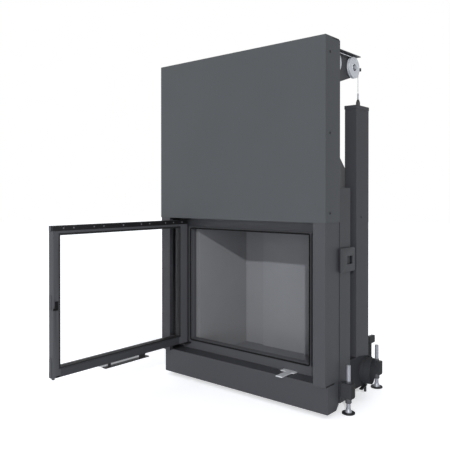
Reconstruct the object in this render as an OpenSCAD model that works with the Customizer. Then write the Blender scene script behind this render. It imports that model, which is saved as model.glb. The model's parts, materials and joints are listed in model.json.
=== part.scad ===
// Fireplace insert: a steel firebox behind a lift-door front.
// The glass leaf hangs on two pivots and stands open at a right angle.
// A carriage behind the cover panel is lifted by cables, pulleys and counterweights.
// Millimetres, +Z up, the front looks towards -Y, the feet stand on z = 0.

/* [Front] */
// Width of the cover panel over its side folds
cover_w = 831; // [815:1:845]
// Height of the cover panel
cover_h = 661; // [655:1:675]
// Depth of the front casing
casing_d = 102; // [100:1:106]
// Sheet thickness of panel, columns and channels
sheet_t = 2; // [1.5:0.25:2.5]
// Width of each column
column_w = 50; // [47:1:54]
// Gap between the leaf and the cover panel's lower edge
cover_gap = 10; // [8:1:14]

/* [Plinth] */
// Height of the plinth's lower edge above the floor
plinth_z = 16; // [14:1:24]
// Height of the plinth
plinth_h = 101; // [96:1:106]
// Setback of the plinth's front face
plinth_setback = 23; // [18:1:28]
// Wall of the plinth
plinth_t = 3; // [2:0.5:4]

/* [Firebox] */
// Width of the door opening
opening_w = 600; // [570:1:606]
// Height of the door opening
opening_h = 479; // [460:1:490]
// Setback of the front frame's face
frame_y = 88; // [86:1:90]
// Depth from the front plane to the back of the firebox
body_back = 490; // [475:1:510]
// Rise of the firebox shoulder above the cover panel's lower edge
shoulder_rise = 20; // [5:1:60]
// Wall of the firebox
wall_t = 4; // [3:0.5:5]
// Height of the smoke dome
dome_h = 483; // [430:1:500]
// Clear width between the side linings
lining_w = 569; // [540:1:580]
// Thickness of the lining boards
lining_t = 30; // [25:1:34]
// Bore of the flue collar
flue_d = 201; // [181:1:221]
// Height of the flue collar
flue_h = 62; // [50:1:70]

/* [Leaf] */
// Gap between the closed leaf and each column
leaf_side_gap = 25.5; // [22:0.5:31]
// Height of the glass leaf
leaf_h = 537; // [530:1:545]
// Thickness of the leaf
leaf_t = 25; // [24:0.5:26]
// Gap between the plinth and the leaf
leaf_gap = 33; // [30:1:38]
// Width of the stile on the hinge side
hinge_stile_w = 50; // [44:1:56]
// Width of the stile on the free side
free_stile_w = 32; // [28:1:36]
// Height of the bottom rail
bottom_rail_h = 38; // [34:1:44]
// Height of the top rail below the strip
top_rail_h = 16.5; // [15:0.5:22]
// Height of the dark top strip
strip_h = 18.5; // [16:0.5:22]
// Thickness of the glass
glass_t = 4; // [3:0.5:5]
// Radius of the hinge pivots
pivot_r = 5; // [4:0.5:5.5]
// Length of the door handle
handle_l = 225; // [180:1:260]
// Reach of the handle in front of the leaf
handle_reach = 67; // [50:1:70]

/* [Lift] */
// Diameter of the cable pulleys
pulley_d = 82; // [76:1:86]
// Width of the cable pulleys
pulley_w = 11; // [9:0.5:12]
// Distance between the front and rear pulley axes
pulley_span = 141; // [135:1:160]
// Diameter of the cable
cable_d = 4; // [3:0.5:5]
// Travel of the lift
lift_travel = 530; // [500:1:535]
// Depth of the counterweight tube
tube_d = 100; // [92:1:110]
// Drop of the counterweight tube's top below the casing's top
tube_drop = 220; // [208:1:248]
// Wall of the counterweight tube
tube_wall = 3; // [2:0.5:4]
// Length of each counterweight
weight_l = 300; // [240:1:400]

/* [Feet and air] */
// Radius of the foot rods
rod_r = 8; // [6:0.5:9]
// Radius of the foot pads
pad_r = 24; // [20:1:28]
// Height of the foot rods' tops above the floor
rod_top = 176; // [160:1:177]
// Radius of the air spigot
spigot_r = 50; // [45:1:55]
// Turn of the air spigot towards the back, in degrees
spigot_turn = 12; // [0:1:12]
// Width of the air lever's stem
lever_w = 28; // [22:1:34]

/* [Hidden] */
$fn = 64;

// Clearances and overruns
cut = 1;
seat = 0.3;
run_fit = 0.05;
bolt_fit = 0.2;
weight_fit = 0.8;

// Colours
paint = [0.33, 0.34, 0.36];
dark_paint = [0.24, 0.25, 0.26];
black = [0.1, 0.1, 0.11];
zinc = [0.68, 0.7, 0.73];
steel = [0.72, 0.74, 0.76];
board = [0.44, 0.45, 0.46];
glass_colour = [0.85, 0.9, 0.92, 0.35];

// Heights
plinth_top = plinth_z + plinth_h;
leaf_z = plinth_top + leaf_gap;
leaf_top = leaf_z + leaf_h;
cover_z = leaf_top + cover_gap;
top_z = cover_z + cover_h;
shoulder_z = cover_z + shoulder_rise;
tube_top = top_z - tube_drop;
frame_lap = 3;
frame_top = cover_z + frame_lap;
opening_sill = 16;
opening_z = leaf_z + opening_sill;

// Widths, measured from the middle plane
half_w = cover_w / 2;
column_out = half_w - sheet_t;
column_in = column_out - column_w;
frame_clear = 0.5;
frame_half = column_in - frame_clear;
body_half = column_in + sheet_t;
body_in = body_half - wall_t;
board_half = lining_w / 2;

// Columns and casing
column_y = sheet_t;
column_lip = 20;
column_foot_slit_h = 4;
column_foot_slit_y = 8;
column_foot_slit_l = 57;
column_top_gap = 3;
casing_corner = 12;
casing_corner_h = 5;
fold_w = 12;
screw_y = 32;
screw_r = 2.5;
screw_head_r = 5;
screw_head_h = 1.6;
screw_from_top = 56;
screw_from_bottom = 34;
screw_upper_pitch = 287;
liner_top_gap = 4;
liner_clear = 0.2;
liner_half = column_in - liner_clear;
liner_top = top_z - liner_top_gap;

// Plinth
plinth_inset = 4;
plinth_half = half_w - plinth_inset;
plinth_corner = 18;

// Front frame, its seal channel and the door seal
frame_t = casing_d - frame_y;
channel_w = 8;
channel_gap = 1;
channel_d = 12;
seal_inset = 1;

// Firebox
body_z = 50;
body_corner_y = 410;
body_corner_x = 305;
body_corner_slant = 2;
hearth_t = 30;
hearth_z = body_z + wall_t + cut;
hearth_top = hearth_z + hearth_t;
upstand_t = 4;
lining_y = casing_d + upstand_t + seat;
lining_back_y = 430;
lining_top_gap = 20;
lining_top = opening_z + opening_h + lining_top_gap;
back_panel_w = 347;
back_panel_t = 25;
strip_recess = 12;
baffle_t = 25;
baffle_front_y = 190;
dome_top_z = shoulder_z + dome_h;
dome_top_half = 130;
dome_y = 250;
flue_wall = 2.5;
flue_lip = 2.5;
flue_flange_r = 118;
flue_flange_t = 4;
air_port_r = 42;

// Side channels
box_y = casing_d;
box_d = 78;
box_z = 38;
box_rise = 125;
box_top = cover_z + box_rise;

// Leaf, worked out in its own frame: u along its width, v through its thickness
pivot_u = 8;
pivot_v = 9.5;
leaf_half = column_in - leaf_side_gap;
leaf_w = 2 * leaf_half;
leaf_closed_y = 45;
hinge_x = pivot_u - leaf_half;
hinge_y = leaf_closed_y + pivot_v;
rabbet_w = 8;
rabbet_v = 14;
bar_v = 16;
stile_top = leaf_top - strip_h;
pane_z = leaf_z + bottom_rail_h;
pane_top = stile_top - top_rail_h;
pivot_depth = 15;
pivot_plate_t = 5;
pivot_plate_w = 30;
pivot_reach = 12.5;
pivot_washer_r = 9;
pivot_washer_t = 4.7;
keep_t = 3;
keep_mid_h = 53;
keep_low_h = 70;
keep_v = 4;
keep_w = 12;
strip_screw_r = 3;
strip_screw_h = 1;
strip_screw_shares = [0.05, 0.126, 0.196, 0.328, 0.395, 0.531, 0.672, 0.738, 0.871, 0.935];
latch_inset = 13;
latch_u = leaf_w - latch_inset;
latch_share = 0.494;
latch_t = 4;
latch_w = 11;
latch_l = 26;
latch_nib = 8;
latch_pin_r = 4;
latch_pin_l = 10;
leaf_front_y = hinge_y + pivot_u - leaf_w - keep_t;

// Handle
handle_shift = 17;
handle_u = (leaf_w - handle_l) / 2 - handle_shift;
handle_z = plinth_top + 9;
handle_t = 4;
handle_lap = 8;
handle_dark_w = 20;
handle_tab_t = 4;
handle_tab_w = 12;
handle_tab_wide = 32;
handle_tab_inset = 13;
handle_wide_inset = 23;
handle_lip_h = 35;

// Lift
groove_d = 4.5;
groove_gap = 0.2;
groove_side = 0.5;
cable_r = cable_d / 2;
wrap_r = pulley_d / 2 - groove_d + groove_gap + cable_r;
pulley_drop = 75;
pulley_z = top_z - pulley_drop;
front_axis_y = casing_d;
rear_axis_y = front_axis_y + pulley_span;
bracket_t = 3;
bracket_gap = 1;
runner_clear = 1.5;
runner_in = column_in + sheet_t + runner_clear;
runner_w = 16;
runner_out = runner_in + runner_w;
bracket_x = runner_out + bracket_gap;
pulley_x = bracket_x + bracket_t + bracket_gap;
cable_x = pulley_x + pulley_w / 2;
front_cable_y = front_axis_y - wrap_r;
rear_cable_y = rear_axis_y + wrap_r;
cable_top_z = pulley_z + wrap_r;
axle_r = 5;
axle_head_r = 8;
axle_head_h = 5;
pulley_hub_r = 14;
pulley_boss_r = 10;
pulley_face = 1.5;
pulley_rim_w = 5;
flange_w = 24;
flange_lift = 4.3;
bracket_front_y = 72;
bracket_front_drop = 91;
bracket_rear_drop = 26;
bracket_rear_in = 5.4;
bracket_rear_y = rear_cable_y - bracket_rear_in;
guard_arm = 8;
guard_gap = 7.3;
guard_drop = 0;
guard_d = 6.5;
guard_h = 12;
tab_w = 18;
tab_h = 95;
tab_drop = 58;
tab_bolt_r = 4;
tab_bolt_head_r = 6.5;
tab_bolt_head_h = 5;
tab_bolt_pitch = 55;
slot_low = 95;
slot_side = 2;
anchor_drop = 97;
anchor_z = cover_z - anchor_drop;
anchor_h = 40;
anchor_d = 18;
hole_r = cable_r + 1;
cable_tail = 10;
cable_front_end = anchor_z - cable_tail;
runner_z = plinth_top + 13;
runner_y = 28;
runner_d = 48;
cross_h = 35;
cross_y = 34;
cross_d = 30;
cross_z = cover_z + 3;
runner_top = cross_z + cross_h;
shoe_h = 40;
shoe_low = 5;
shoe_drop = 47;
shoe_high = leaf_top - shoe_drop;

// Counterweight tube and weight
tube_lip = 1.5;
tube_lip_h = 14;
cable_offset = 3.2;
tube_y = rear_cable_y - cable_offset - tube_d / 2;
tube_out = half_w;
pod_top = 178;
eye_rise = 27;
eye_r = 7.8;
eye_mid_r = 6.4;
eye_tip_r = 4.2;
eye_cone_h = 6;
weight_drop = 18;
weight_top = tube_top - weight_drop;
weight_z = weight_top - weight_l;
eye_top = tube_top + eye_rise;
cable_rear_tail = 13;
cable_rear_end = eye_top - lift_travel - cable_rear_tail;

// Side lugs
lug_y = 92;
lug_d = 106;
lug_z = 514;
lug_h = 88;
lug_t = 5;
lug_off = 5;
lug_round = 9;
lug_hole_y = 45;
lug_hole_d = 43;
lug_hole_z = 27;
lug_hole_h = 30;
lug_seat_y = 12;
lug_seat_d = 12;

// Feet
front_foot_out = 22;
front_foot_y = 126.5;
rear_foot_in = 28;
rear_foot_y = 460;
front_bracket_z = 57;
front_bracket_h = 54;
front_bracket_w = 41;
front_bracket_d = 31;
rear_bracket_z = 57;
rear_bracket_h = 54;
rear_bracket_w = 42;
rear_bracket_d = 24;
bracket_wall = 5;
bracket_chamfer = 5;
rear_plate_y = 384;
rear_plate_top = 182;
rear_plate_neck = 23;
rear_tongue_top = 206;
rear_tongue_neck = 38;
rear_stop_z = 186;
rear_stop_h = 30;
rear_stop_d = 46;
rear_stop_in = 9;
rear_stop_w = 13;
rear_stop_round = 6;
pad_h = 6;
cone_r = 13;
cone_h = 13;
nut_r = 11.5;
nut_h = 18;
lock_nut_r = 9.5;
lock_nut_h = 8;

// Air pods and spigot
pod_y = box_y + box_d + 3;
pod_d = 185;
pod_slope_d = 72;
pod_knee_d = 152;
pod_knee_drop = 12;
pod_end_drop = 28;
pod_z = 58;
spigot_y = 316;
spigot_z = 111;
spigot_rim_out = 24;
spigot_free_l = 24;
spigot_l = 62;
spigot_wall = 1.5;
spigot_boss = 4;
damper_in = 29;
damper_gap = 0.8;
damper_t = 2;
spindle_r = 4;
spindle_over = 3;
damper_arm_l = 62;
damper_arm_w = 14;
damper_arm_t = 4;
damper_arm_gap = 5.5;
damper_knob_r = 5;
damper_knob_h = 24;
damper_wing_w = 24;
damper_wing_t = 5;
damper_wing_h = 10;
damper_wing_drop = 8;
damper_screw_r = 4;
damper_screw_h = 2;
damper_screw_out = 25;

// Air lever
lever_x = 216;
lever_t = 4;
lever_front_y = -4;
lever_lift = 2;
lever_collar_r = 8;
lever_bar_w = 62;
lever_skew = 4;
lever_bar_d = 24;
lever_pin_r = 4;
lever_pin_gap = 0.5;
lever_travel_in = 90;
lever_travel_out = 30;
shutter_w = 120;
shutter_d = 50;
shutter_t = 3;
port_w = 22;
port_d = 16;
port_pitch = 36;

// The origin is the middle of the footprint with the leaf open
origin_y = (leaf_front_y + body_back) / 2;

module placed() translate([0, -origin_y, 0]) children();

module on_side(s) mirror([s < 0 ? 1 : 0, 0, 0]) children();

module both_sides() for (s = [-1, 1]) on_side(s) children();

module box(x0, y0, z0, x1, y1, z1) translate([x0, y0, z0]) cube([x1 - x0, y1 - y0, z1 - z0]);

module x_rod(x, y, z, r, l) translate([x, y, z]) rotate([0, 90, 0]) cylinder(r = r, h = l);

module y_rod(x, y, z, r, l) translate([x, y, z]) rotate([-90, 0, 0]) cylinder(r = r, h = l);

module z_rod(x, y, z, r, l) translate([x, y, z]) cylinder(r = r, h = l);

// A profile drawn in the Y-Z plane and given a width along X
module yz_plate(x, w) translate([x, 0, 0]) rotate([90, 0, 90]) linear_extrude(w) children();

// The leaf's own frame, open at a right angle
module leaf_frame()
    translate([hinge_x - pivot_v, hinge_y + pivot_u, 0]) rotate([0, 0, -90]) children();

module ring(half, z0, z1, w, y0, y1) difference() {
    box(-half - w, y0, z0 - w, half + w, y1, z1 + w);
    box(-half, y0 - cut, z0, half, y1 + cut, z1);
}

function screw_heights() = [cover_z + screw_from_bottom, top_z - screw_from_top - screw_upper_pitch,
    top_z - screw_from_top];

module screw_holes(r) for (z = screw_heights())
    x_rod(column_in + cut, screw_y, z, r, column_w + sheet_t + cut);

// Casing

module casing_corner_cut(s) on_side(s)
    yz_plate(column_out - cut, sheet_t + 2 * cut)
        polygon([[casing_d - casing_corner, top_z], [casing_d, top_z - casing_corner_h],
            [casing_d + cut, top_z - casing_corner_h], [casing_d + cut, top_z + cut],
            [casing_d - casing_corner, top_z + cut]]);

module cover_panel() color(paint) placed() {
    difference() {
        box(-half_w, 0, cover_z, half_w, casing_d, top_z);
        box(-column_out, sheet_t, cover_z - cut, column_out, casing_d + cut, top_z + cut);
        both_sides() screw_holes(screw_r + bolt_fit);
        casing_corner_cut(-1);
        casing_corner_cut(1);
    }
    for (z = [cover_z, top_z - sheet_t])
        box(-frame_half, sheet_t, z, frame_half, sheet_t + fold_w, z + sheet_t);
}

module cover_screws() color(dark_paint) placed() both_sides() for (z = screw_heights()) {
    x_rod(column_out - 2 * sheet_t, screw_y, z, screw_r, 3 * sheet_t);
    x_rod(half_w, screw_y, z, screw_head_r, screw_head_h);
}

module column_outline() polygon([
    [column_in, column_y], [column_out, column_y], [column_out, casing_d], [column_in, casing_d],
    [column_in, casing_d - sheet_t], [column_out - sheet_t, casing_d - sheet_t],
    [column_out - sheet_t, column_y + sheet_t], [column_in + sheet_t, column_y + sheet_t],
    [column_in + sheet_t, column_y + column_lip], [column_in, column_y + column_lip]]);

module column(s) color(paint) placed() on_side(s) difference() {
    translate([0, 0, plinth_top])
        linear_extrude(top_z - column_top_gap - casing_corner_h - plinth_top) column_outline();
    screw_holes(screw_r + bolt_fit);
    box(column_out - sheet_t - cut, column_foot_slit_y, plinth_top - cut, column_out + cut,
        column_foot_slit_y + column_foot_slit_l, plinth_top + column_foot_slit_h);
    box(bracket_x - slot_side, casing_d - sheet_t - cut, pulley_z - slot_low,
        pulley_x + pulley_w + 4 * slot_side, casing_d + cut, top_z);
    bracket_bolt_holes();
}

module casing_liner() color(dark_paint) placed() {
    box(-liner_half, casing_d - 2 * sheet_t, frame_top + seat, liner_half, casing_d - sheet_t,
        liner_top);
    box(-liner_half, sheet_t + fold_w + seat, liner_top - sheet_t, liner_half,
        casing_d - 2 * sheet_t, liner_top);
}

module plinth() color(paint) placed() difference() {
    box(-plinth_half, plinth_setback, plinth_z, plinth_half, casing_d, plinth_top);
    box(-plinth_half + plinth_t, plinth_setback + plinth_t, plinth_z - cut,
        plinth_half - plinth_t, casing_d + cut, plinth_top - plinth_t);
    for (s = [-1, 1]) on_side(s) yz_plate(plinth_half - plinth_t - cut, plinth_t + 2 * cut)
        polygon([[casing_d - plinth_corner, plinth_z], [casing_d + cut, plinth_z + plinth_corner + cut],
            [casing_d + cut, plinth_z - cut], [casing_d - plinth_corner, plinth_z - cut]]);
    hull() for (x = [lever_x - lever_travel_in, lever_x + lever_travel_out])
        z_rod(x, lever_pin_y, plinth_top - plinth_t - cut, lever_pin_r + lever_pin_gap,
            plinth_t + 2 * cut);
}

// Front frame

module front_frame() color(dark_paint) placed() {
    difference() {
        box(-frame_half, frame_y, plinth_top, frame_half, casing_d, frame_top);
        box(-opening_w / 2, frame_y - cut, opening_z, opening_w / 2, casing_d + cut,
            opening_z + opening_h);
    }
    ring(opening_w / 2 + channel_gap, opening_z - channel_gap, opening_z + opening_h + channel_gap,
        channel_w, frame_y - channel_d, frame_y);
}

module door_seal() color(black) placed()
    ring(opening_w / 2 + channel_gap + seal_inset, opening_z - channel_gap - seal_inset,
        opening_z + opening_h + channel_gap + seal_inset, channel_w - 2 * seal_inset,
        leaf_closed_y + leaf_t + seat, frame_y - channel_d);

// Firebox

body_outline = [[-body_half, casing_d], [body_half, casing_d], [body_half, body_corner_y],
    [body_corner_x, body_back], [-body_corner_x, body_back], [-body_half, body_corner_y]];
body_inline = [[-body_in, casing_d], [body_in, casing_d], [body_in, body_corner_y],
    [body_corner_x - body_corner_slant, body_back - wall_t],
    [-body_corner_x + body_corner_slant, body_back - wall_t], [-body_in, body_corner_y]];

module body_side(s) color(dark_paint) placed() on_side(s) difference() {
    box(body_in, casing_d, body_z, body_half, body_corner_y, shoulder_z);
    if (s > 0) x_rod(body_in - cut, port_y, spigot_z, air_port_r, wall_t + 2 * cut);
}

module body_back() color(dark_paint) placed() translate([0, 0, body_z])
    linear_extrude(shoulder_z - body_z) difference() {
        polygon(body_outline);
        polygon(body_inline);
        translate([-body_half - cut, casing_d - cut])
            square([2 * body_half + 2 * cut, body_corner_y - casing_d + cut]);
    }

module body_floor() color(dark_paint) placed() {
    translate([0, 0, body_z]) linear_extrude(wall_t) polygon(body_inline);
    box(-body_in, casing_d, body_z, body_in, casing_d + upstand_t, opening_z);
}

module dome_form(inset) hull() {
    translate([0, 0, shoulder_z]) linear_extrude(wall_t)
        offset(delta = -inset) polygon(body_outline);
    translate([inset - dome_top_half, dome_y + inset - dome_top_half, dome_top_z - wall_t - inset])
        cube([2 * (dome_top_half - inset), 2 * (dome_top_half - inset), wall_t]);
}

module smoke_dome() color(dark_paint) placed() difference() {
    dome_form(0);
    translate([0, 0, -cut]) dome_form(wall_t);
    z_rod(0, dome_y, dome_top_z - 3 * wall_t, flue_d / 2 - flue_lip, 4 * wall_t);
}

module flue_collar() color(dark_paint) placed() difference() {
    union() {
        z_rod(0, dome_y, dome_top_z, flue_d / 2 + flue_wall, flue_h);
        z_rod(0, dome_y, dome_top_z, flue_flange_r, flue_flange_t);
    }
    z_rod(0, dome_y, dome_top_z - cut, flue_d / 2, flue_h + 2 * cut);
}

module lining_side(s) color(board) placed() on_side(s)
    box(board_half, lining_y, hearth_top, board_half + lining_t, lining_back_y + back_panel_t,
        lining_top);

module lining_back() color(board) placed() {
    box(-back_panel_w / 2, lining_back_y, hearth_top, back_panel_w / 2,
        lining_back_y + back_panel_t, lining_top);
    both_sides() box(back_panel_w / 2, lining_back_y + strip_recess, hearth_top, board_half,
        lining_back_y + back_panel_t, lining_top);
}

module hearth_floor() color(board) placed()
    box(-board_half - lining_t, lining_y, body_z + wall_t, board_half + lining_t,
        lining_back_y + back_panel_t, hearth_top);

module baffle_board() color(board) placed()
    box(-board_half - lining_t, baffle_front_y, lining_top, board_half + lining_t,
        lining_back_y + back_panel_t, lining_top + baffle_t);

// Side channels and counterweight tubes

module side_box(s) color(paint) placed() on_side(s) difference() {
    box(body_half, box_y, box_z, half_w, box_y + box_d, box_top);
    box(body_half + sheet_t, box_y - cut, box_z + sheet_t, half_w - sheet_t, box_y + box_d - sheet_t,
        box_top - sheet_t);
}

module guide_tube(s) color(paint) placed() on_side(s) difference() {
    union() {
        box(body_half, tube_y, pod_top - pod_end_drop, tube_out, tube_y + tube_d, tube_top);
        box(body_half - tube_lip, tube_y - tube_lip, tube_top - tube_lip_h, tube_out + tube_lip,
            tube_y + tube_d, tube_top);
    }
    box(body_half + tube_wall, tube_y + tube_wall, pod_top - pod_end_drop - cut,
        tube_out - tube_wall, tube_y + tube_d - tube_wall, tube_top + cut);
    yz_plate(body_half - cut, tube_out - body_half + 2 * cut) polygon(pod_profile(0));
}

// Pulley brackets, cables and pulleys

module bracket_bolt_holes() {
    for (k = [-0.5, 0.5]) y_rod(bracket_x - tab_w / 2, casing_d - 2 * sheet_t,
        tab_mid_z + k * tab_bolt_pitch, tab_bolt_r + bolt_fit, bracket_t + 4 * sheet_t);
    x_rod(bracket_x - axle_head_h - cut, front_axis_y, pulley_z, axle_head_r + cut,
        axle_head_h + cut);
}

module pulley_brackets() color(paint) placed() both_sides() {
    difference() {
        union() {
            yz_plate(bracket_x, bracket_t) polygon([
                [bracket_front_y, pulley_z - bracket_front_drop],
                [bracket_rear_y, pulley_z - bracket_rear_drop],
                [bracket_rear_y, pulley_z - guard_drop - guard_arm],
                [guard_y + guard_d, pulley_z - guard_drop - guard_arm],
                [guard_y + guard_d, pulley_z - guard_drop + guard_arm],
                [bracket_rear_y, pulley_z - guard_drop + guard_arm],
                [bracket_rear_y, flange_z], [bracket_front_y, flange_z]]);
            box(bracket_x, bracket_front_y, flange_z, bracket_x + flange_w, bracket_rear_y,
                flange_z + bracket_t);
            box(bracket_x - tab_w, casing_d, tab_mid_z - tab_h / 2, bracket_x + bracket_t,
                casing_d + bracket_t, tab_mid_z + tab_h / 2);
            for (y = [front_axis_y, rear_axis_y])
                x_rod(bracket_x, y, pulley_z, pulley_boss_r, bracket_t + bracket_gap - seat);
            box(bracket_x, guard_y, pulley_z - guard_drop - guard_h / 2,
                pulley_x + pulley_w, guard_y + guard_d, pulley_z - guard_drop + guard_h / 2);
        }
        for (y = [front_axis_y, rear_axis_y])
            x_rod(bracket_x - cut, y, pulley_z, axle_r + bolt_fit, bracket_t + 4 * cut);
        bracket_bolt_holes();
    }
}

module pulley_bolts() color(zinc) placed() both_sides() for (y = [front_axis_y, rear_axis_y]) {
    x_rod(bracket_x - axle_head_h, y, pulley_z, axle_r,
        axle_head_h + bracket_t + bracket_gap + pulley_w + seat);
    translate([bracket_x - axle_head_h, y, pulley_z]) rotate([0, 90, 0])
        cylinder(r = axle_head_r, h = axle_head_h, $fn = 6);
    translate([pulley_x + pulley_w + seat, y, pulley_z]) rotate([0, 90, 0])
        cylinder(r = axle_head_r, h = axle_head_h, $fn = 6);
}

module bracket_bolts() color(zinc) placed() both_sides() for (k = [-0.5, 0.5])
    translate([bracket_x - tab_w / 2, 0, tab_mid_z + k * tab_bolt_pitch]) {
        y_rod(0, casing_d - 2 * sheet_t - tab_bolt_head_h, 0, tab_bolt_r,
            2 * tab_bolt_head_h + 2 * sheet_t + bracket_t);
        for (y = [casing_d + bracket_t, casing_d - sheet_t - tab_bolt_head_h])
            translate([0, y, 0]) rotate([-90, 0, 0])
                cylinder(r = tab_bolt_head_r, h = tab_bolt_head_h, $fn = 6);
    }

module pulley(s, y) color(steel) placed() on_side(s) translate([pulley_x, y, pulley_z])
    rotate([0, 90, 0]) rotate_extrude() polygon([
        [axle_r + run_fit, 0], [pulley_hub_r, 0], [pulley_hub_r, pulley_face],
        [pulley_d / 2 - pulley_rim_w - groove_d, pulley_face],
        [pulley_d / 2 - pulley_rim_w - groove_d, 0], [pulley_d / 2, 0],
        [pulley_d / 2, pulley_w / 2 - cable_r - groove_side],
        [pulley_d / 2 - groove_d, pulley_w / 2 - cable_r],
        [pulley_d / 2 - groove_d, pulley_w / 2 + cable_r],
        [pulley_d / 2, pulley_w / 2 + cable_r + groove_side], [pulley_d / 2, pulley_w],
        [pulley_d / 2 - pulley_rim_w - groove_d, pulley_w],
        [pulley_d / 2 - pulley_rim_w - groove_d, pulley_w - pulley_face],
        [pulley_hub_r, pulley_w - pulley_face], [pulley_hub_r, pulley_w],
        [axle_r + run_fit, pulley_w]]);

module cable(s) color(steel) placed() on_side(s) {
    z_rod(cable_x, front_cable_y, cable_front_end, cable_r, pulley_z - cable_front_end);
    z_rod(cable_x, rear_cable_y, cable_rear_end, cable_r, pulley_z - cable_rear_end);
    y_rod(cable_x, front_axis_y, cable_top_z, cable_r, pulley_span);
    translate([cable_x, front_axis_y, pulley_z]) rotate([90, 0, -90])
        rotate_extrude(angle = 90) translate([wrap_r, 0]) circle(r = cable_r);
    translate([cable_x, rear_axis_y, pulley_z]) rotate([90, 0, 90])
        rotate_extrude(angle = 90) translate([wrap_r, 0]) circle(r = cable_r);
}

// Side lugs, feet and air

module side_lugs() color(paint) placed() both_sides() {
    difference() {
        yz_plate(half_w + lug_off, lug_t) hull() {
            translate([lug_y, lug_z]) square([lug_round, lug_h]);
            for (z = [lug_z + lug_round, lug_z + lug_h - lug_round])
                translate([lug_y + lug_d - lug_round, z]) circle(r = lug_round, $fn = 32);
        }
        box(half_w, lug_y + lug_hole_y, lug_z + lug_hole_z, half_w + lug_off + 2 * lug_t,
            lug_y + lug_hole_y + lug_hole_d, lug_z + lug_hole_z + lug_hole_h);
    }
    box(half_w, lug_y + lug_seat_y, lug_z, half_w + lug_off, lug_y + lug_seat_y + lug_seat_d,
        lug_z + lug_h);
}

front_foot_x = half_w + front_foot_out;
rear_foot_x = half_w - rear_foot_in;

module bracket_corner_cut(x, y, z, w) yz_plate(x - cut, w + 2 * cut)
    polygon([[y - bracket_chamfer, z - cut], [y - bracket_chamfer, z], [y, z + bracket_chamfer],
        [y + cut, z + bracket_chamfer], [y + cut, z - cut]]);

module front_foot_bracket() difference() {
    y0 = front_foot_y - front_bracket_d / 2;
    box(half_w, y0, front_bracket_z, half_w + front_bracket_w, y0 + front_bracket_d,
        front_bracket_z + front_bracket_h);
    box(half_w + bracket_wall, y0 + bracket_wall, front_bracket_z + bracket_wall,
        half_w + front_bracket_w - bracket_wall, y0 + front_bracket_d + cut,
        front_bracket_z + front_bracket_h - bracket_wall);
    bracket_corner_cut(half_w, y0 + front_bracket_d, front_bracket_z, front_bracket_w);
    z_rod(front_foot_x, front_foot_y, front_bracket_z - cut, rod_r + bolt_fit,
        front_bracket_h + 2 * cut);
}

module rear_stop(y) hull() for (dy = [rear_stop_round, rear_stop_d - rear_stop_round],
    dz = [rear_stop_round, rear_stop_h - rear_stop_round])
    x_rod(body_half, y + dy, rear_stop_z + dz, rear_stop_round, rear_stop_w);

module rear_foot_bracket() {
    y1 = rear_foot_y + rear_bracket_d / 2;
    difference() {
        union() {
            box(body_half, rear_foot_y - rear_bracket_d / 2, rear_bracket_z,
                body_half + rear_bracket_w, y1, rear_bracket_z + rear_bracket_h);
            box(body_half, rear_plate_y, rear_bracket_z, body_half + bracket_wall, y1,
                rear_bracket_z + rear_bracket_h);
            box(body_half, rear_plate_y, rear_bracket_z, body_half + bracket_wall,
                y1 - rear_plate_neck, rear_plate_top);
            box(body_half, rear_plate_y, rear_plate_top - bracket_wall,
                body_half + bracket_wall, y1 - rear_tongue_neck, rear_tongue_top);
            rear_stop(y1 - rear_stop_in - rear_stop_d);
        }
        box(body_half + bracket_wall, rear_foot_y - rear_bracket_d / 2 + bracket_wall,
            rear_bracket_z + bracket_wall, body_half + rear_bracket_w - bracket_wall, y1 + cut,
            rear_bracket_z + rear_bracket_h - bracket_wall);
        bracket_corner_cut(body_half, y1, rear_bracket_z, rear_bracket_w);
        z_rod(rear_foot_x, rear_foot_y, rear_bracket_z - cut, rod_r + bolt_fit,
            rear_bracket_h + 2 * cut);
    }
}

module foot_brackets() color(dark_paint) placed() both_sides() {
    front_foot_bracket();
    rear_foot_bracket();
}

foot_places = [[front_foot_x, front_foot_y, front_bracket_z, front_bracket_h],
    [rear_foot_x, rear_foot_y, rear_bracket_z, rear_bracket_h]];

module foot_rods() color(zinc) placed() both_sides() for (p = foot_places) {
    z_rod(p[0], p[1], pad_h, rod_r, rod_top - pad_h);
    translate([p[0], p[1], pad_h]) cylinder(r1 = cone_r, r2 = rod_r, h = cone_h);
}

module foot_nuts() color(dark_paint) placed() both_sides() for (p = foot_places)
    for (nut = [[p[2] - nut_h, nut_r, nut_h], [p[2] + p[3], lock_nut_r, lock_nut_h]])
        translate([p[0], p[1], nut[0]]) difference() {
            cylinder(r = nut[1], h = nut[2]);
            translate([0, 0, -cut]) cylinder(r = rod_r + run_fit, h = nut[2] + 2 * cut);
        }

module foot_pads() color(black) placed() both_sides() for (p = foot_places)
    z_rod(p[0], p[1], 0, pad_r, pad_h);

// The spigot's own frame: its axis is +Z, and z = 0 is the rim
module spigot_frame()
    translate([half_w + spigot_rim_out, spigot_y, spigot_z]) rotate([0, 0, spigot_turn])
        rotate([0, 90, 0]) children();

port_y = spigot_y - (spigot_rim_out + half_w - body_half) * tan(spigot_turn);

module air_pods() color(paint) placed() both_sides_but_port();

module both_sides_but_port() {
    on_side(-1) air_pod();
    difference() {
        air_pod();
        spigot_frame() translate([0, 0, -spigot_l - cut])
            cylinder(r = spigot_r + spigot_boss, h = 2 * spigot_l);
    }
}

// The pod's outline seen from the side, drawn in by a wall
function pod_profile(wall) = [[pod_y + wall, pod_z + wall], [pod_y + pod_d - wall, pod_z + wall],
    [pod_y + pod_d - wall, pod_top - pod_end_drop - wall],
    [pod_y + pod_knee_d, pod_top - pod_knee_drop - wall],
    [pod_y + pod_slope_d, pod_top - wall], [pod_y + wall, pod_top - wall]];

module air_pod() difference() {
    yz_plate(body_half, column_out - body_half) polygon(pod_profile(0));
    yz_plate(body_half - cut, column_out - sheet_t - body_half + cut)
        polygon(pod_profile(sheet_t));
}

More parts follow.
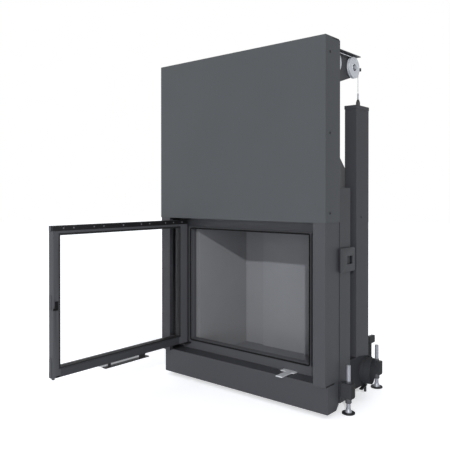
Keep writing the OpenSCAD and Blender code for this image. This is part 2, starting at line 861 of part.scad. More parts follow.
module air_spigot() color(paint) placed() difference() {
    union() {
        spigot_frame() translate([0, 0, -spigot_l]) cylinder(r = spigot_r, h = spigot_l);
        spigot_frame() translate([0, 0, -spigot_l])
            cylinder(r = spigot_r + spigot_boss, h = spigot_l - spigot_free_l);
    }
    spigot_frame() translate([0, 0, -spigot_l - cut])
        cylinder(r = spigot_r - spigot_wall, h = spigot_l + 2 * cut);
    spigot_frame() translate([-spigot_r - spigot_boss - cut, 0, -damper_in]) rotate([0, 90, 0])
        cylinder(r = spindle_r + run_fit, h = 2 * (spigot_r + spigot_boss + cut));
}

module damper_disc() color(dark_paint) placed() spigot_frame() translate([0, 0, -damper_in])
    difference() {
        translate([0, 0, -damper_t / 2])
            cylinder(r = spigot_r - spigot_wall - damper_gap, h = damper_t);
        rotate([0, 90, 0]) translate([0, 0, -spigot_r])
            cylinder(r = spindle_r, h = 2 * spigot_r);
    }

module damper_lever() color(black) placed() spigot_frame() translate([0, 0, -damper_in]) {
    low = spigot_r + damper_arm_gap;
    translate([-spigot_r - spindle_over, 0, 0]) rotate([0, 90, 0])
        cylinder(r = spindle_r, h = spigot_r + spindle_over + low + damper_arm_t);
    translate([low, -damper_arm_l, -damper_arm_w / 2])
        cube([damper_arm_t, damper_arm_l + damper_arm_w / 2, damper_arm_w]);
    translate([low + damper_arm_t, 0, 0]) rotate([0, 90, 0])
        cylinder(r = damper_knob_r, h = damper_knob_h);
    translate([low + damper_arm_t + damper_wing_drop, -damper_wing_w / 2, -damper_wing_t / 2])
        cube([damper_wing_h, damper_wing_w, damper_wing_t]);
    translate([low - damper_screw_h, -damper_screw_out, 0]) rotate([0, 90, 0])
        cylinder(r = damper_screw_r, h = damper_screw_h, $fn = 6);
}

lever_pin_y = frame_y - channel_d / 2 - cut;

module air_lever() color(steel) placed() {
    z0 = plinth_top + seat + lever_lift;
    z_rod(lever_x, lever_pin_y, plinth_top + seat, lever_collar_r - lever_t / 2, lever_lift);
    stem_x = lever_x + lever_skew - lever_w / 2;
    bar_x = lever_x - lever_skew - lever_bar_w / 2;
    box(stem_x, lever_front_y, z0, stem_x + lever_w, frame_y - lever_bar_d, z0 + lever_t);
    box(bar_x, frame_y - lever_bar_d, z0, bar_x + lever_bar_w, frame_y - 2 * seat,
        z0 + lever_t);
    z_rod(lever_x, lever_pin_y, plinth_top - plinth_t - seat - shutter_t, lever_pin_r,
        plinth_t + 2 * seat + shutter_t + lever_lift);
    shutter_top = plinth_top - plinth_t - seat;
    difference() {
        box(lever_x - shutter_w / 2, casing_d - shutter_d, shutter_top - shutter_t,
            lever_x + shutter_w / 2, casing_d - plinth_t, shutter_top);
        for (k = [-1, 0, 1]) box(lever_x + k * port_pitch - port_w / 2,
            casing_d - shutter_d + 2 * plinth_t, shutter_top - shutter_t - cut,
            lever_x + k * port_pitch + port_w / 2,
            casing_d - shutter_d + 2 * plinth_t + port_d, shutter_top + cut);
    }
}

// Hinge pivots

module hinge_pivots() color(black) placed() {
    y0 = hinge_y - pivot_reach;
    x0 = hinge_x - pivot_plate_w / 2;
    low = leaf_z - seat - pivot_washer_t;
    box(x0, y0, low - pivot_plate_t, x0 + pivot_plate_w, frame_y, low);
    z_rod(hinge_x, hinge_y, low, pivot_washer_r, pivot_washer_t);
    z_rod(hinge_x, hinge_y, low, pivot_r, pivot_washer_t + seat + pivot_depth);
    high = leaf_top + seat;
    box(x0, y0, high, x0 + pivot_plate_w, frame_y, high + pivot_plate_t);
    z_rod(hinge_x, hinge_y, leaf_top - pivot_depth, pivot_r, pivot_depth + seat);
}

// Leaf

module pivot_bore(z) z_rod(pivot_u, pivot_v, z, pivot_r + run_fit, pivot_depth + seat + cut);

module rabbet() box(hinge_stile_w - rabbet_w, rabbet_v, pane_z - rabbet_w,
    leaf_w - free_stile_w + rabbet_w, leaf_t + cut, pane_top + rabbet_w);

module leaf_hinge_stile() color(paint) placed() leaf_frame() difference() {
    box(0, 0, leaf_z, hinge_stile_w, leaf_t, stile_top);
    rabbet();
    pivot_bore(leaf_z - cut);
}

module leaf_free_stile() color(paint) placed() leaf_frame() {
    difference() {
        box(leaf_w - free_stile_w, 0, leaf_z, leaf_w, leaf_t, stile_top);
        rabbet();
        y_rod(latch_u, leaf_t - latch_pin_l - seat, latch_z, latch_pin_r + run_fit,
            latch_pin_l + seat + cut);
    }
    for (z = [[leaf_z, keep_low_h], [latch_z - keep_mid_h / 2, keep_mid_h]])
        box(leaf_w, keep_v, z[0], leaf_w + keep_t, keep_v + keep_w, z[0] + z[1]);
}

module leaf_top_rail() color(paint) placed() leaf_frame() difference() {
    union() {
        box(hinge_stile_w, 0, pane_top, leaf_w - free_stile_w, leaf_t, stile_top);
        box(0, 0, stile_top, leaf_w, bar_v, leaf_top);
        box(leaf_w - keep_t, keep_v, stile_top + seat, leaf_w + keep_t, keep_v + keep_w, leaf_top);
    }
    rabbet();
    pivot_bore(leaf_top - pivot_depth - seat);
}

module leaf_bottom_rail() color(paint) placed() leaf_frame() difference() {
    box(hinge_stile_w, 0, leaf_z, leaf_w - free_stile_w, leaf_t, pane_z);
    rabbet();
}

module leaf_top_strip() color(black) placed() leaf_frame()
    box(0, bar_v, stile_top, leaf_w, leaf_t, leaf_top);

module strip_screws() color(zinc) placed() leaf_frame() for (share = strip_screw_shares)
    y_rod(share * leaf_w, leaf_t, stile_top + strip_h / 2, strip_screw_r, strip_screw_h);

module leaf_glass() color(glass_colour) placed() leaf_frame()
    box(hinge_stile_w - rabbet_w + cut, rabbet_v, pane_z - rabbet_w + cut,
        leaf_w - free_stile_w + rabbet_w - cut, rabbet_v + glass_t, pane_top + rabbet_w - cut);

module glass_retainers() color(black) placed() leaf_frame() difference() {
    box(hinge_stile_w - rabbet_w + seat, rabbet_v + glass_t, pane_z - rabbet_w + seat,
        leaf_w - free_stile_w + rabbet_w - seat, leaf_t - cut, pane_top + rabbet_w - seat);
    box(hinge_stile_w - cut, rabbet_v, pane_z - cut, leaf_w - free_stile_w + cut, leaf_t + cut,
        pane_top + cut);
}

handle_u1 = handle_u + handle_l;

module handle_bracket() color(black) placed() leaf_frame() {
    box(handle_u, handle_lap - handle_dark_w, handle_z, handle_u1, handle_lap,
        handle_z + handle_t);
    box(handle_u + handle_wide_inset, handle_lap - handle_tab_t, handle_z + handle_t,
        handle_u + handle_wide_inset + handle_tab_wide, handle_lap, leaf_z);
    box(handle_u1 - handle_tab_inset - handle_tab_w, handle_lap - handle_tab_t,
        handle_z + handle_t, handle_u1 - handle_tab_inset, handle_lap, leaf_z);
}

module handle_grip() color(steel) placed() leaf_frame() {
    box(handle_u, -handle_reach, handle_z, handle_u1, handle_lap - handle_dark_w,
        handle_z + handle_t);
    box(handle_u, -handle_reach, handle_z + handle_t, handle_u1, handle_t - handle_reach,
        handle_z + handle_lip_h);
}

latch_z = leaf_z + latch_share * leaf_h;

module latch_cam() color(black) placed() leaf_frame() {
    y_rod(latch_u, leaf_t - latch_pin_l, latch_z, latch_pin_r, latch_pin_l + seat + latch_t);
    box(latch_u - latch_w / 2, leaf_t + seat, latch_z - latch_l, latch_u + latch_w / 2,
        leaf_t + seat + latch_t, latch_z + latch_w / 2);
    box(latch_u + latch_w / 2, leaf_t + seat, latch_z - latch_l,
        latch_u + latch_w / 2 + latch_nib, leaf_t + seat + latch_t, latch_z - latch_l + latch_nib);
}

// Lift carriage

module runner(s) color(dark_paint) placed() on_side(s) difference() {
    union() {
        box(runner_in, runner_y, runner_z, runner_out, runner_y + runner_d, runner_top);
        box(runner_out, front_cable_y - anchor_d / 2, anchor_z, cable_x + anchor_d / 2 - cut,
            front_cable_y + anchor_d / 2, anchor_z + anchor_h);
    }
    z_rod(cable_x, front_cable_y, anchor_z - cut, hole_r, anchor_h + 2 * cut);
}

module cross_bar() color(dark_paint) placed()
    box(-runner_in, cross_y, cross_z, runner_in, cross_y + cross_d, cross_z + cross_h);

module glide_shoes() color([0.75, 0.62, 0.3]) placed() both_sides()
    for (z = [runner_z + shoe_low, shoe_high]) {
        box(runner_in, column_y + sheet_t + seat, z, runner_out, runner_y, z + shoe_h);
        box(runner_in, runner_y + runner_d, z, runner_out, casing_d - sheet_t - seat, z + shoe_h);
    }

module counterweight(s) color(dark_paint) placed() on_side(s) difference() {
    union() {
        box(body_half + tube_wall + weight_fit, tube_y + tube_wall + weight_fit, weight_z,
            tube_out - tube_wall - weight_fit, tube_y + tube_d - tube_wall - weight_fit, weight_top);
        z_rod(cable_x, rear_cable_y, weight_top, eye_r, eye_top - weight_top - 2 * eye_cone_h);
        translate([cable_x, rear_cable_y, eye_top - 2 * eye_cone_h])
            cylinder(r1 = eye_r, r2 = eye_mid_r, h = eye_cone_h);
        translate([cable_x, rear_cable_y, eye_top - eye_cone_h])
            cylinder(r1 = eye_mid_r, r2 = eye_tip_r, h = eye_cone_h);
    }
    z_rod(cable_x, rear_cable_y, weight_z - cut, hole_r, eye_top - weight_z + 2 * cut);
}

flange_z = cable_top_z + flange_lift;
guard_y = rear_cable_y + cable_r + guard_gap;
tab_mid_z = pulley_z - tab_drop + tab_h / 2 - cut;

cover_panel();
cover_screws();
column(-1);  // column_left
column(1);  // column_right
casing_liner();
plinth();
front_frame();
door_seal();
body_side(-1);  // body_side_left
body_side(1);  // body_side_right
body_back();
body_floor();
smoke_dome();
flue_collar();
lining_side(-1);  // lining_left
lining_side(1);  // lining_right
lining_back();
hearth_floor();
baffle_board();
side_box(-1);  // side_box_left
side_box(1);  // side_box_right
guide_tube(-1);  // guide_tube_left
guide_tube(1);  // guide_tube_right
pulley_brackets();
pulley_bolts();
bracket_bolts();
side_lugs();
foot_brackets();
foot_rods();
foot_nuts();
foot_pads();
air_pods();
air_spigot();
hinge_pivots();
cable(-1);  // cable_left
cable(1);  // cable_right
leaf_top_rail();
leaf_bottom_rail();
leaf_hinge_stile();
leaf_free_stile();
leaf_glass();
leaf_top_strip();
strip_screws();
glass_retainers();
handle_bracket();
handle_grip();
latch_cam();
runner(-1);  // runner_left
runner(1);  // runner_right
cross_bar();
glide_shoes();
counterweight(-1);  // counterweight_left
counterweight(1);  // counterweight_right
pulley(-1, front_axis_y);  // pulley_front_left
pulley(1, front_axis_y);  // pulley_front_right
pulley(-1, rear_axis_y);  // pulley_rear_left
pulley(1, rear_axis_y);  // pulley_rear_right
air_lever();
damper_disc();
damper_lever();
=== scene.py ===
"""Looks of the fireplace insert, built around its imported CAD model.

The model's nodes stay where they are and get their finishes here. Threads, wire rope, braided
seal, screws and other fine pieces are modelled in mesh code and ride on the model's bodies.
Lengths are in millimetres of the drawing, and at() turns them into metres of the frame.
"""

import json
import math

import bpy
from mathutils import Matrix, Vector


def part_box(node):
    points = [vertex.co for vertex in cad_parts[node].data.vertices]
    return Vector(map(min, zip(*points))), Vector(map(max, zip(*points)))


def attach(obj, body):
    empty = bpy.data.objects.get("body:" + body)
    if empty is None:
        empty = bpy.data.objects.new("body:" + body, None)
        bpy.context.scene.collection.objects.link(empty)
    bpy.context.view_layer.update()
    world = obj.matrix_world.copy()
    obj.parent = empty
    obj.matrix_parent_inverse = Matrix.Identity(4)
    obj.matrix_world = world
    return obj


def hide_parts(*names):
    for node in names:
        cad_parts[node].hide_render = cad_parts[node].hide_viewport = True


MM = 0.001
ROOT = "insert"
SIDES = ((-1, "left"), (1, "right"))

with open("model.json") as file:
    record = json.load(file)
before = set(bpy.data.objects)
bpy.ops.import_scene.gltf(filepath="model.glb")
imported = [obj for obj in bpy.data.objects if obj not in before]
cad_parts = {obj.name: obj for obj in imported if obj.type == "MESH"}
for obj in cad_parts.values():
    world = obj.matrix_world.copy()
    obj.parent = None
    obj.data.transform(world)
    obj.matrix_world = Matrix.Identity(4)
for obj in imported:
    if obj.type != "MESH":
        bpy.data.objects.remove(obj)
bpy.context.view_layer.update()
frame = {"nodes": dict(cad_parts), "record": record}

# The drawing's y = 0 is the cover panel's front, and the frame's is the middle of the footprint
PANEL_FRONT_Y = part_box("cover_panel")[0].y / MM

# Sizes shared with the model: lift
PULLEY_X, PULLEY_FACE_X = 393.5, 399.0
FRONT_AXIS_Y, REAR_AXIS_Y, PULLEY_Z = 102.0, 243.0, 1283.0
WRAP_R = 38.7
CABLE_R = 2.0
CABLE_FRONT_END, CABLE_REAR_END = 590.0, 622.0
EYE_TOP = 1165.0

# Feet
FEET = ((437.5, 126.5), (387.5, 460.0))
ROD_R, ROD_TOP, PAD_R, PAD_H, CONE_TOP = 8.0, 176.0, 24.0, 6.0, 19.0

# Flanks
HALF_W = 415.5
SCREW_Y = 32.0
SCREW_HEIGHTS = (731.0, 1015.0, 1302.0)
TUBE_SCREW_Y, TUBE_SCREW_Z = 268.0, 711.0

# Open leaf: its size, its hinge end, its outer face and the screws along its dark strip
LEAF_W, LEAF_T = 676.0, 25.0
STILE_TOP, LEAF_TOP = 668.5, 687.0
HINGE_END_Y, OUTER_FACE_X = 62.5, -339.5
STRIP_SCREWS = (0.05, 0.126, 0.196, 0.328, 0.395, 0.531, 0.672, 0.738, 0.871, 0.935)

# Door seal and back lining
SEAL_X, SEAL_LOW, SEAL_HIGH, SEAL_Y, SEAL_R = 305.0, 161.0, 650.0, 73.15, 2.85
SEAL_CORNER_R, SEAL_START_Z = 5.0, 400.0
BACK_CENTRE_HALF_W = 173.5

# Sizes of the small pieces made here. A screw head is given by its radius, height and recess.
FLANK_HEAD, TUBE_HEAD, STRIP_HEAD = (5, 1.6, 1.1), (4, 1.4, 1.0), (3, 1, 0.7)
SHANK = ((2.5, -4), (2.5, 0.2))
THREAD_PITCH, THREAD_DEPTH = 2.0, 0.9
CABLE_STEP, QUARTER_STEPS = 2.4, 26
NODE_EDGE, BLOCK_EDGE = 0.7, 0.4

# Turned profiles, as radius and height
SLEEVE = ((2.15, 0), (2.9, 0.3), (3.3, 1.5), (3.3, 8), (2.9, 9), (2.9, 15), (3.2, 16), (3.2, 22),
          (2.7, 24), (2.15, 24.6))
SHIELD = ((8.4, 0.05), (8.4, 0.2), (8.9, 0.26), (12.4, 0.26), (12.9, 0.18), (13.0, 0.02))
COLLAR = ((12.4, PAD_H - 1.5), (13, PAD_H), (13, 7.6), (12.2, 8.8), (10.4, 12.5), (9.2, 16.5),
          (8.9, CONE_TOP), (7.2, CONE_TOP))
PAD = ((22.6, 0), (23.7, 0.6), (PAD_R, 1.8), (PAD_R, 3.8), (23.6, 5.2), (22.6, PAD_H),
       (20.4, PAD_H), (19.6, 5.3), (14.6, 5.1), (13.9, PAD_H - 0.4), (12, PAD_H - 0.4))

# Black inlays that paint the shade in two gaps of a flank: the slit in the column's foot and the
# gap at the panel's top fold. Each is an outline, as height and depth, and where it starts and
# ends, counted outward of the flank.
FLANK_SHADE_INLAYS = (
    (((117.3, 8.7), (120.5, 8.7), (120.5, 64.3), (117.3, 64.3)), -1.9, -0.2),
    (((1357.4, 50), (1357.4, 94), (1351.4, 94), (1353, 50)), -1.0, 0.15),
)

# A small foot and two black end pieces at the leaf's free corner, as the corners of their blocks
CORNER_PIECES = (
    ("corner_foot", "free_stile_paint", "leaf_paint", [((668, 13, 144.5), (675, 23, 150.3))]),
    ("corner_ends", "latch_black", "black_steel", [((647, 24, 150.4), (664, 25.4, 156.4)),
                                                   ((675, -0.2, 150.4), (676.4, 4, 168))]),
)


# Places


def at(x, y, z):
    """A point of the drawing, in millimetres, as a point of the frame in metres."""
    return Vector((x * MM, (y + PANEL_FRONT_Y) * MM, z * MM))


def leaf_at(u, v, z):
    """A point of the open leaf: u from the hinge along it, v through it, z above the floor."""
    return at(v + OUTER_FACE_X, HINGE_END_Y - u, z)


def frame_to(origin, axis, side):
    """Matrix with +Z along axis, +X along side and its origin at a point of the frame."""
    z, x = Vector(axis), Vector(side)
    m = Matrix((x, z.cross(x), z)).transposed().to_4x4()
    m.translation = origin
    return m


def sideways(side, x, y, z):
    """A turning axis that points out of the part's side, at a point of the drawing."""
    return frame_to(at(side * x, y, z), (side, 0, 0), (0, 0, 1))


def upright(x, y, z=0.0):
    """A turning axis that points up, at a point of the drawing."""
    return Matrix.Translation(at(x, y, z))


# Meshes


def add_object(name, data):
    """A new object of the scene."""
    obj = bpy.data.objects.new(name, data)
    bpy.context.scene.collection.objects.link(obj)
    return obj


def new_piece(name, verts, faces, material, body=ROOT, smooth=True, sharp_angle=35):
    """A mesh object in the frame's coordinates that rides on a body."""
    mesh = bpy.data.meshes.new(name)
    mesh.from_pydata([tuple(v) for v in verts], [], faces)
    mesh.update()
    if smooth:
        mesh.shade_smooth()
        mesh.set_sharp_from_angle(angle=math.radians(sharp_angle))
    obj = add_object(name, mesh)
    mesh.materials.append(material)
    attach(obj, body)
    return obj


def polar(matrix, r, angle, h):
    """A point at radius r and height h, in mm, round the +Z of a matrix."""
    return matrix @ Vector((r * MM * math.cos(angle), r * MM * math.sin(angle), h * MM))


def skin(rows, around):
    """Faces over rows of points that each close a ring, with a cap on the first and the last."""
    faces = []
    for i in range(rows - 1):
        for k in range(around):
            n = (k + 1) % around
            faces.append((i * around + k, i * around + n, (i + 1) * around + n, (i + 1) * around + k))
    faces.append(tuple(reversed(range(around))))
    faces.append(tuple(range((rows - 1) * around, rows * around)))
    return faces


def lathe(profile, steps, matrix):
    """Vertices and faces of a profile [(radius, height), ...] in mm turned about +Z."""
    verts = [polar(matrix, r, 2 * math.pi * k / steps, h) for r, h in profile for k in range(steps)]
    return verts, skin(len(profile), steps)


def join(parts):
    """Several (verts, faces) as one."""
    verts, faces = [], []
    for v, f in parts:
        base = len(verts)
        verts += v
        faces += [tuple(i + base for i in face) for face in f]
    return verts, faces


def prism(outline, h0, h1, matrix, bevel=0.0):
    """An outline [(x, y), ...] in mm raised from h0 to h1, with a small bevel at both ends."""
    cx = sum(p[0] for p in outline) / len(outline)
    cy = sum(p[1] for p in outline) / len(outline)
    layers = [(h0, 0), (h1, 0)]
    if bevel:
        layers = [(h0, bevel), (h0 + bevel, 0), (h1 - bevel, 0), (h1, bevel)]
    verts = []
    for h, inset in layers:
        for x, y in outline:
            k = 1 - inset / math.hypot(x - cx, y - cy)
            verts.append(matrix @ Vector(((cx + (x - cx) * k) * MM, (cy + (y - cy) * k) * MM, h * MM)))
    return verts, skin(len(layers), len(outline))


def block(low, high, matrix):
    """A box between two corners in mm, with its edges a little rounded."""
    outline = [(low[0], low[1]), (high[0], low[1]), (high[0], high[1]), (low[0], high[1])]
    return prism(outline, low[2], high[2], matrix, min(BLOCK_EDGE, (high[2] - low[2]) / 4))


def screw_head(radius, height, recess, matrix, steps=40):
    """A domed head with a hexagonal recess that narrows a little downwards."""
    dome = [(radius, 0), (radius, height * 0.35), (radius * 0.94, height * 0.7),
            (radius * 0.78, height * 0.95), (radius * 0.6, height)]
    verts, faces = lathe(dome, steps, matrix)
    faces.pop()
    top = (len(dome) - 1) * steps
    ring = len(verts)
    corner_r = radius * 0.42
    sixth = math.pi / 3
    for h, k in ((height, 1.0), (height - recess, 0.96)):
        for i in range(steps):
            a = 2 * math.pi * i / steps
            r = corner_r * k * math.cos(sixth / 2) / math.cos((a % sixth) - sixth / 2)
            verts.append(polar(matrix, r, a, h))
    for i in range(steps):
        n = (i + 1) % steps
        faces.append((top + i, top + n, ring + n, ring + i))
        faces.append((ring + i, ring + n, ring + steps + n, ring + steps + i))
    faces.append(tuple(ring + steps + i for i in range(steps)))
    return verts, faces


def threaded_rod(radius, h0, h1, matrix, around=28, per_pitch=6):
    """A rod with a helical thread that runs out at both ends."""
    rows = int((h1 - h0) / THREAD_PITCH * per_pitch)
    run_out = 1.2 * THREAD_PITCH
    verts = []
    for i in range(rows + 1):
        h = h0 + (h1 - h0) * i / rows
        ease = max(0.0, min(1.0, (h1 - h) / run_out, (h - h0) / run_out))
        for k in range(around):
            phase = (h / THREAD_PITCH - k / around) % 1.0
            # The groove between two turns has a flat floor
            notch = min(1.0, 1.35 * (1 - abs(2 * phase - 1)))
            r = radius - THREAD_DEPTH * notch * ease - THREAD_DEPTH * (1 - ease)
            verts.append(polar(matrix, r, 2 * math.pi * k / around, h))
    return verts, skin(rows + 1, around)


def rope(points, radius, strands=6, lay=22.0, around=30, depth=0.17):
    """A wire rope: a lobed section that twists along the points, given in mm of the drawing."""
    path = [at(*p) for p in points]
    travelled, last, side = 0.0, path[0], Vector((1, 0, 0))
    verts = []
    for i, p in enumerate(path):
        t = (path[min(i + 1, len(path) - 1)] - path[max(i - 1, 0)]).normalized()
        side = (side - t * side.dot(t)).normalized()
        up = t.cross(side)
        travelled += (p - last).length / MM
        last = p
        twist = 2 * math.pi * travelled / lay
        for k in range(around):
            a = 2 * math.pi * k / around
            lobe = abs(math.sin(strands * (a - twist) / 2))
            r = radius * (1 - depth + depth * lobe) * MM
            verts.append(p + side * (r * math.cos(a)) + up * (r * math.sin(a)))
    return verts, skin(len(path), around)


def cable_route(side):
    """Points of one cable: up from the carriage, over both pulleys and down to the weight."""
    x = side * PULLEY_X
    front_y, rear_y = FRONT_AXIS_Y - WRAP_R, REAR_AXIS_Y + WRAP_R
    top = PULLEY_Z + WRAP_R

    def run(y0, z0, y1, z1):
        count = int((abs(y1 - y0) + abs(z1 - z0)) / CABLE_STEP)
        return [(x, y0 + (y1 - y0) * i / count, z0 + (z1 - z0) * i / count) for i in range(count)]

    quarter = [math.pi / 2 * i / QUARTER_STEPS for i in range(QUARTER_STEPS)]
    route = run(front_y, CABLE_FRONT_END, front_y, PULLEY_Z)
    route += [(x, FRONT_AXIS_Y - WRAP_R * math.cos(a), PULLEY_Z + WRAP_R * math.sin(a)) for a in quarter]
    route += run(FRONT_AXIS_Y, top, REAR_AXIS_Y, top)
    route += [(x, REAR_AXIS_Y + WRAP_R * math.sin(a), PULLEY_Z + WRAP_R * math.cos(a)) for a in quarter]
    route += run(rear_y, PULLEY_Z, rear_y, CABLE_REAR_END)
    return route + [(x, rear_y, CABLE_REAR_END)]


def seal_route(step=3.0):
    """Points of the seal, every few millimetres round a rectangle with rounded corners."""
    corner_x = SEAL_X - SEAL_CORNER_R
    low, high = SEAL_LOW + SEAL_CORNER_R, SEAL_HIGH - SEAL_CORNER_R
    ring = [(SEAL_X, SEAL_Y, SEAL_START_Z)]
    for x, z, start in ((corner_x, high, 0), (-corner_x, high, 90), (-corner_x, low, 180),
                        (corner_x, low, 270)):
        for turned in range(start, start + 91, 15):
            a = math.radians(turned)
            ring.append((x + SEAL_CORNER_R * math.cos(a), SEAL_Y, z + SEAL_CORNER_R * math.sin(a)))
    ring = [Vector(p) for p in ring]
    route = []
    for a, b in zip(ring, ring[1:] + ring[:1]):
        count = max(1, int((b - a).length / step))
        route += [a + (b - a) * i / count for i in range(count)]
    return route + ring[:1]


# Materials


def srgb(rgb):
    """Linear colour of a display colour from 0 to 255."""
    shares = [c / 255 for c in rgb]
    return tuple(c / 12.92 if c <= 0.04045 else ((c + 0.055) / 1.055) ** 2.4 for c in shares)


class Nodes:
    """A short way to write the node tree of a material or of the world."""

    def __init__(self, owner, shader="Principled BSDF"):
        owner.use_nodes = True
        self.owner = owner
        self.tree = owner.node_tree
        self.shader = self.tree.nodes[shader]
        self.coords = self.add("ShaderNodeTexCoord").outputs

    def put(self, socket, value):
        """Link a socket to another, or give it a value."""
        if isinstance(value, bpy.types.NodeSocket):
            self.tree.links.new(value, socket)
        else:
            socket.default_value = value

    def add(self, kind, inputs=None, **props):
        node = self.tree.nodes.new(kind)
        for key, value in props.items():
            setattr(node, key, value)
        for key, value in (inputs or {}).items():
            self.put(node.inputs[key], value)
        return node

    def place(self, scale):
        return self.add("ShaderNodeMapping", {"Vector": self.coords["Object"],
                                              "Scale": scale}).outputs["Vector"]

    def noise(self, scale, detail=2.0, rough=0.5, vector=None):
        return self.add("ShaderNodeTexNoise", {"Vector": vector or self.coords["Object"],
                                               "Scale": scale, "Detail": detail,
                                               "Roughness": rough}).outputs["Fac"]

    def span(self, value, low, high, from_low=0.0, from_high=1.0):
        return self.add("ShaderNodeMapRange", {"Value": value, "From Min": from_low,
                                               "From Max": from_high, "To Min": low,
                                               "To Max": high}).outputs["Result"]

    def maths(self, operation, a, b=0.0):
        return self.add("ShaderNodeMath", {0: a, 1: b}, operation=operation).outputs["Value"]

    def weigh(self, a, share_a, b, share_b):
        """Two values, each times its share, added up."""
        return self.maths("ADD", self.maths("MULTIPLY", a, share_a), self.maths("MULTIPLY", b, share_b))

    def along(self, source, axis):
        """How far out a point lies, or how squarely its surface faces, along an axis, either way."""
        parts = self.add("ShaderNodeSeparateXYZ", {"Vector": self.coords[source]})
        return self.maths("ABSOLUTE", parts.outputs[axis])

    def facing(self, axis):
        """1 on surfaces that face along an axis, 0 on the others, with a narrow step between."""
        return self.span(self.along("Normal", axis), 0.0, 1.0, 0.7, 0.9)

    def seen(self):
        """1 for rays from the camera, also through glass, and 0 for those that light the object."""
        rays = self.add("ShaderNodeLightPath").outputs
        return self.maths("MAXIMUM", rays["Is Camera Ray"], rays["Is Transmission Ray"])

    def mix(self, factor, a, b):
        node = self.add("ShaderNodeMix", data_type="RGBA")
        for key, value in (("Factor", factor), ("A", a), ("B", b)):
            self.put([s for s in node.inputs if s.name == key and s.enabled][0], value)
        return [s for s in node.outputs if s.enabled][0]

    def tint(self, rgb, share, value):
        """The colour, darker or lighter by share as value goes from 0 to 1."""
        low = [c * (1 - share) for c in srgb(rgb)]
        high = [min(1, c * (1 + share)) for c in srgb(rgb)]
        return self.mix(value, (*low, 1), (*high, 1))

    def bump(self, height, strength, distance):
        return self.add("ShaderNodeBump", {"Height": height, "Strength": strength,
                                           "Distance": distance}).outputs["Normal"]

    def set(self, **sockets):
        """Fill the shader's sockets, and give back the material."""
        for key, value in sockets.items():
            self.put(self.shader.inputs[key.replace("_", " ")], value)
        return self.owner


def new_look(name):
    """The nodes of a new material."""
    return Nodes(bpy.data.materials.new(name))


def paint(name, rgb, gloss=0.5, level=0.35, side_shading_rgb=None):
    """Heat-proof paint on sheet steel: fine grain, faint cloudiness and a light orange peel. The
    faces to the sides, along X, can get another colour, which is painted shade or painted light."""
    n = new_look(name)
    grain = 0.12
    cloud, speck, peel = n.noise(4.0, 3.0, 0.55), n.noise(2600.0, 2.0, 0.6), n.noise(900.0)
    mottle = n.weigh(cloud, 0.45, speck, 0.55)
    colour = n.tint(rgb, grain, mottle)
    # Faces along X take the side colour: painted shade or painted light for how light falls on them
    if side_shading_rgb:
        colour = n.mix(n.facing("X"), colour, n.tint(side_shading_rgb, grain, mottle))
    return n.set(Base_Color=colour, Roughness=n.span(n.noise(260.0), gloss - 0.06, gloss + 0.06),
                 Normal=n.bump(peel, 0.12, 0.0004), Specular_IOR_Level=level)


def board(name, rgb, middle_rgb=None, end_shade_rgb=None):
    """Pressed insulating board: coarse mineral grains and shallow pits. The raised centre can have
    a colour of its own, and the ends, along Y, a darker colour that is painted shade."""
    n = new_look(name)
    grain = 0.16
    pits = n.add("ShaderNodeTexVoronoi", {"Vector": n.coords["Object"], "Scale": 420.0},
                 feature="F1").outputs["Distance"]
    cloud, fine = n.noise(6.0, 4.0, 0.6), n.noise(700.0, 4.0, 0.7)
    mottle = n.weigh(cloud, 0.5, fine, 0.5)
    colour = n.tint(rgb, grain, mottle)
    if middle_rgb:
        outside = n.maths("GREATER_THAN", n.along("Object", "X"), BACK_CENTRE_HALF_W * MM)
        colour = n.mix(outside, n.tint(middle_rgb, grain, mottle), colour)
    # The ends along Y take painted shade
    if end_shade_rgb:
        colour = n.mix(n.facing("Y"), colour, n.tint(end_shade_rgb, grain, mottle))
    return n.set(Base_Color=colour, Roughness=0.88, Specular_IOR_Level=0.2,
                 Normal=n.bump(n.maths("ADD", pits, fine), 0.25, 0.0012))


def metal(name, rgb, rough, stretch=(1, 1, 1), scale=500.0, metallic=1.0):
    """Bare or plated steel with a brushed or spangled surface."""
    n = new_look(name)
    lines, cloud = n.noise(scale, 3.0, 0.6, n.place(stretch)), n.noise(14.0)
    mottle = n.weigh(lines, 0.6, cloud, 0.4)
    return n.set(Base_Color=n.tint(rgb, 0.12, mottle), Metallic=metallic,
                 Roughness=n.span(lines, rough - 0.07, rough + 0.09),
                 Normal=n.bump(lines, 0.05, 0.0003))


def braid(name, rgb):
    """Braided glass-fibre rope: two sets of strands that cross."""
    n = new_look(name)
    waves = [n.add("ShaderNodeTexWave", {"Vector": n.place((620.0, 620.0, rise)), "Scale": 0.5,
                                         "Distortion": 0.6}).outputs["Fac"]
             for rise in (620.0, -620.0)]
    weave = n.maths("MAXIMUM", *waves)
    return n.set(Base_Color=n.tint(rgb, 0.3, weave), Roughness=0.95,
                 Normal=n.bump(weave, 0.5, 0.0012), Specular_IOR_Level=0.1)


def rubber(name, rgb):
    """Moulded rubber, faintly mottled."""
    n = new_look(name)
    return n.set(Base_Color=n.tint(rgb, 0.2, n.noise(300.0, 3.0)),
                 Roughness=n.span(n.noise(120.0), 0.5, 0.65),
                 Normal=n.bump(n.noise(1500.0), 0.15, 0.0003), Specular_IOR_Level=0.3)


def glass(name):
    """Clear glass-ceramic with the faintest unevenness."""
    n = new_look(name)
    n.owner.blend_method = "BLEND"
    return n.set(Base_Color=(0.985, 0.99, 0.99, 1), Roughness=n.span(n.noise(30.0), 0.0, 0.01),
                 Transmission_Weight=1.0, IOR=1.12, Normal=n.bump(n.noise(9.0, 1.0), 0.01, 0.001))


